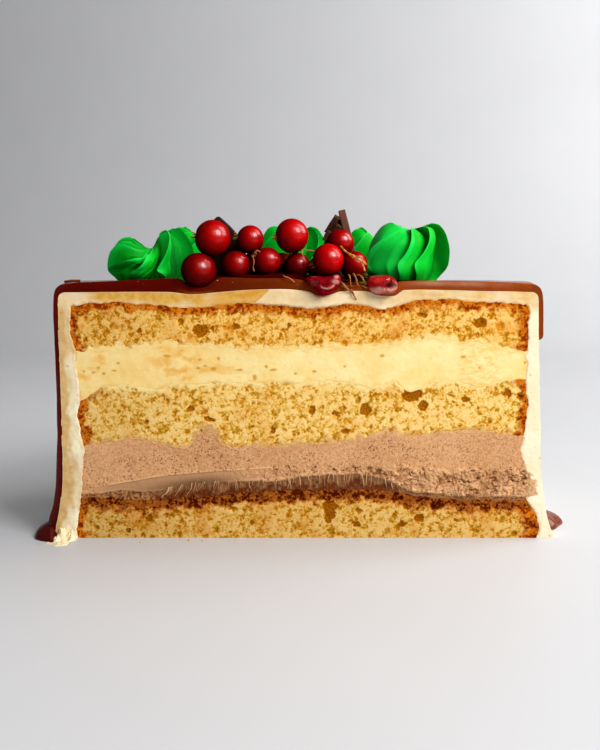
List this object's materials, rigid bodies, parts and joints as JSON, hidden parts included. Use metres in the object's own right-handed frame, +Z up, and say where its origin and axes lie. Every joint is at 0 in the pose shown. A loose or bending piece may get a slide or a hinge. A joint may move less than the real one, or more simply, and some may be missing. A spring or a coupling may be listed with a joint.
{
  "type": "chocolate vanilla cake",
  "caption": "Half of a round chocolate and vanilla layer cake, cut open, with frosting, dripping chocolate glaze, piped green swirls, red currants and chocolate pieces on top.",
  "frame": {"origin": "on the base, midway along the cut and midway from the cut face to the back of the side wall", "axes": "+X along the cut to the right as seen from the cut face, +Y from the cut face to the back, +Z up"},
  "size_m": [0.1727, 0.0834, 0.1049],
  "materials": {
    "sponge": "open golden crumb with a browned crust",
    "ganache": "glossy dark brown",
    "mousse": "smooth milk chocolate brown, torn in places",
    "cream": "soft pale yellow with small bubbles",
    "frosting": "soft ivory",
    "glaze": "glossy dark red-brown",
    "green_icing": "satin bright green",
    "currant": "glossy deep red skin",
    "crushed_currant": "wet dark red skin and pulp",
    "stalk": "dry tan",
    "chocolate": "satin dark brown"
  },
  "bodies": {
    "root": {"sponge_bottom": "sponge", "ganache": "ganache", "mousse": "mousse", "sponge_middle": "sponge", "vanilla_cream": "cream", "sponge_top": "sponge", "frosting": "frosting", "glaze": "glaze", "glaze_puddle_left": "glaze", "glaze_puddle_right": "glaze", "glaze_puddle_back_1": "glaze", "glaze_puddle_back_2": "glaze", "swirl_1": "green_icing", "swirl_2": "green_icing", "swirl_3": "green_icing", "swirl_4": "green_icing", "swirl_5": "green_icing", "currant_1": "currant", "currant_2": "currant", "currant_3": "currant", "currant_4": "currant", "currant_5": "currant", "currant_6": "currant", "currant_7": "currant", "currant_8": "currant", "currant_9": "currant", "currant_10": "currant", "currant_11": "currant", "currant_12": "currant", "currant_13": "currant", "crushed_currant_1": "crushed_currant", "crushed_currant_2": "crushed_currant", "currant_stalk": "stalk", "chocolate_shard": "chocolate", "chocolate_curl": "chocolate"}
  },
  "joints": []
}
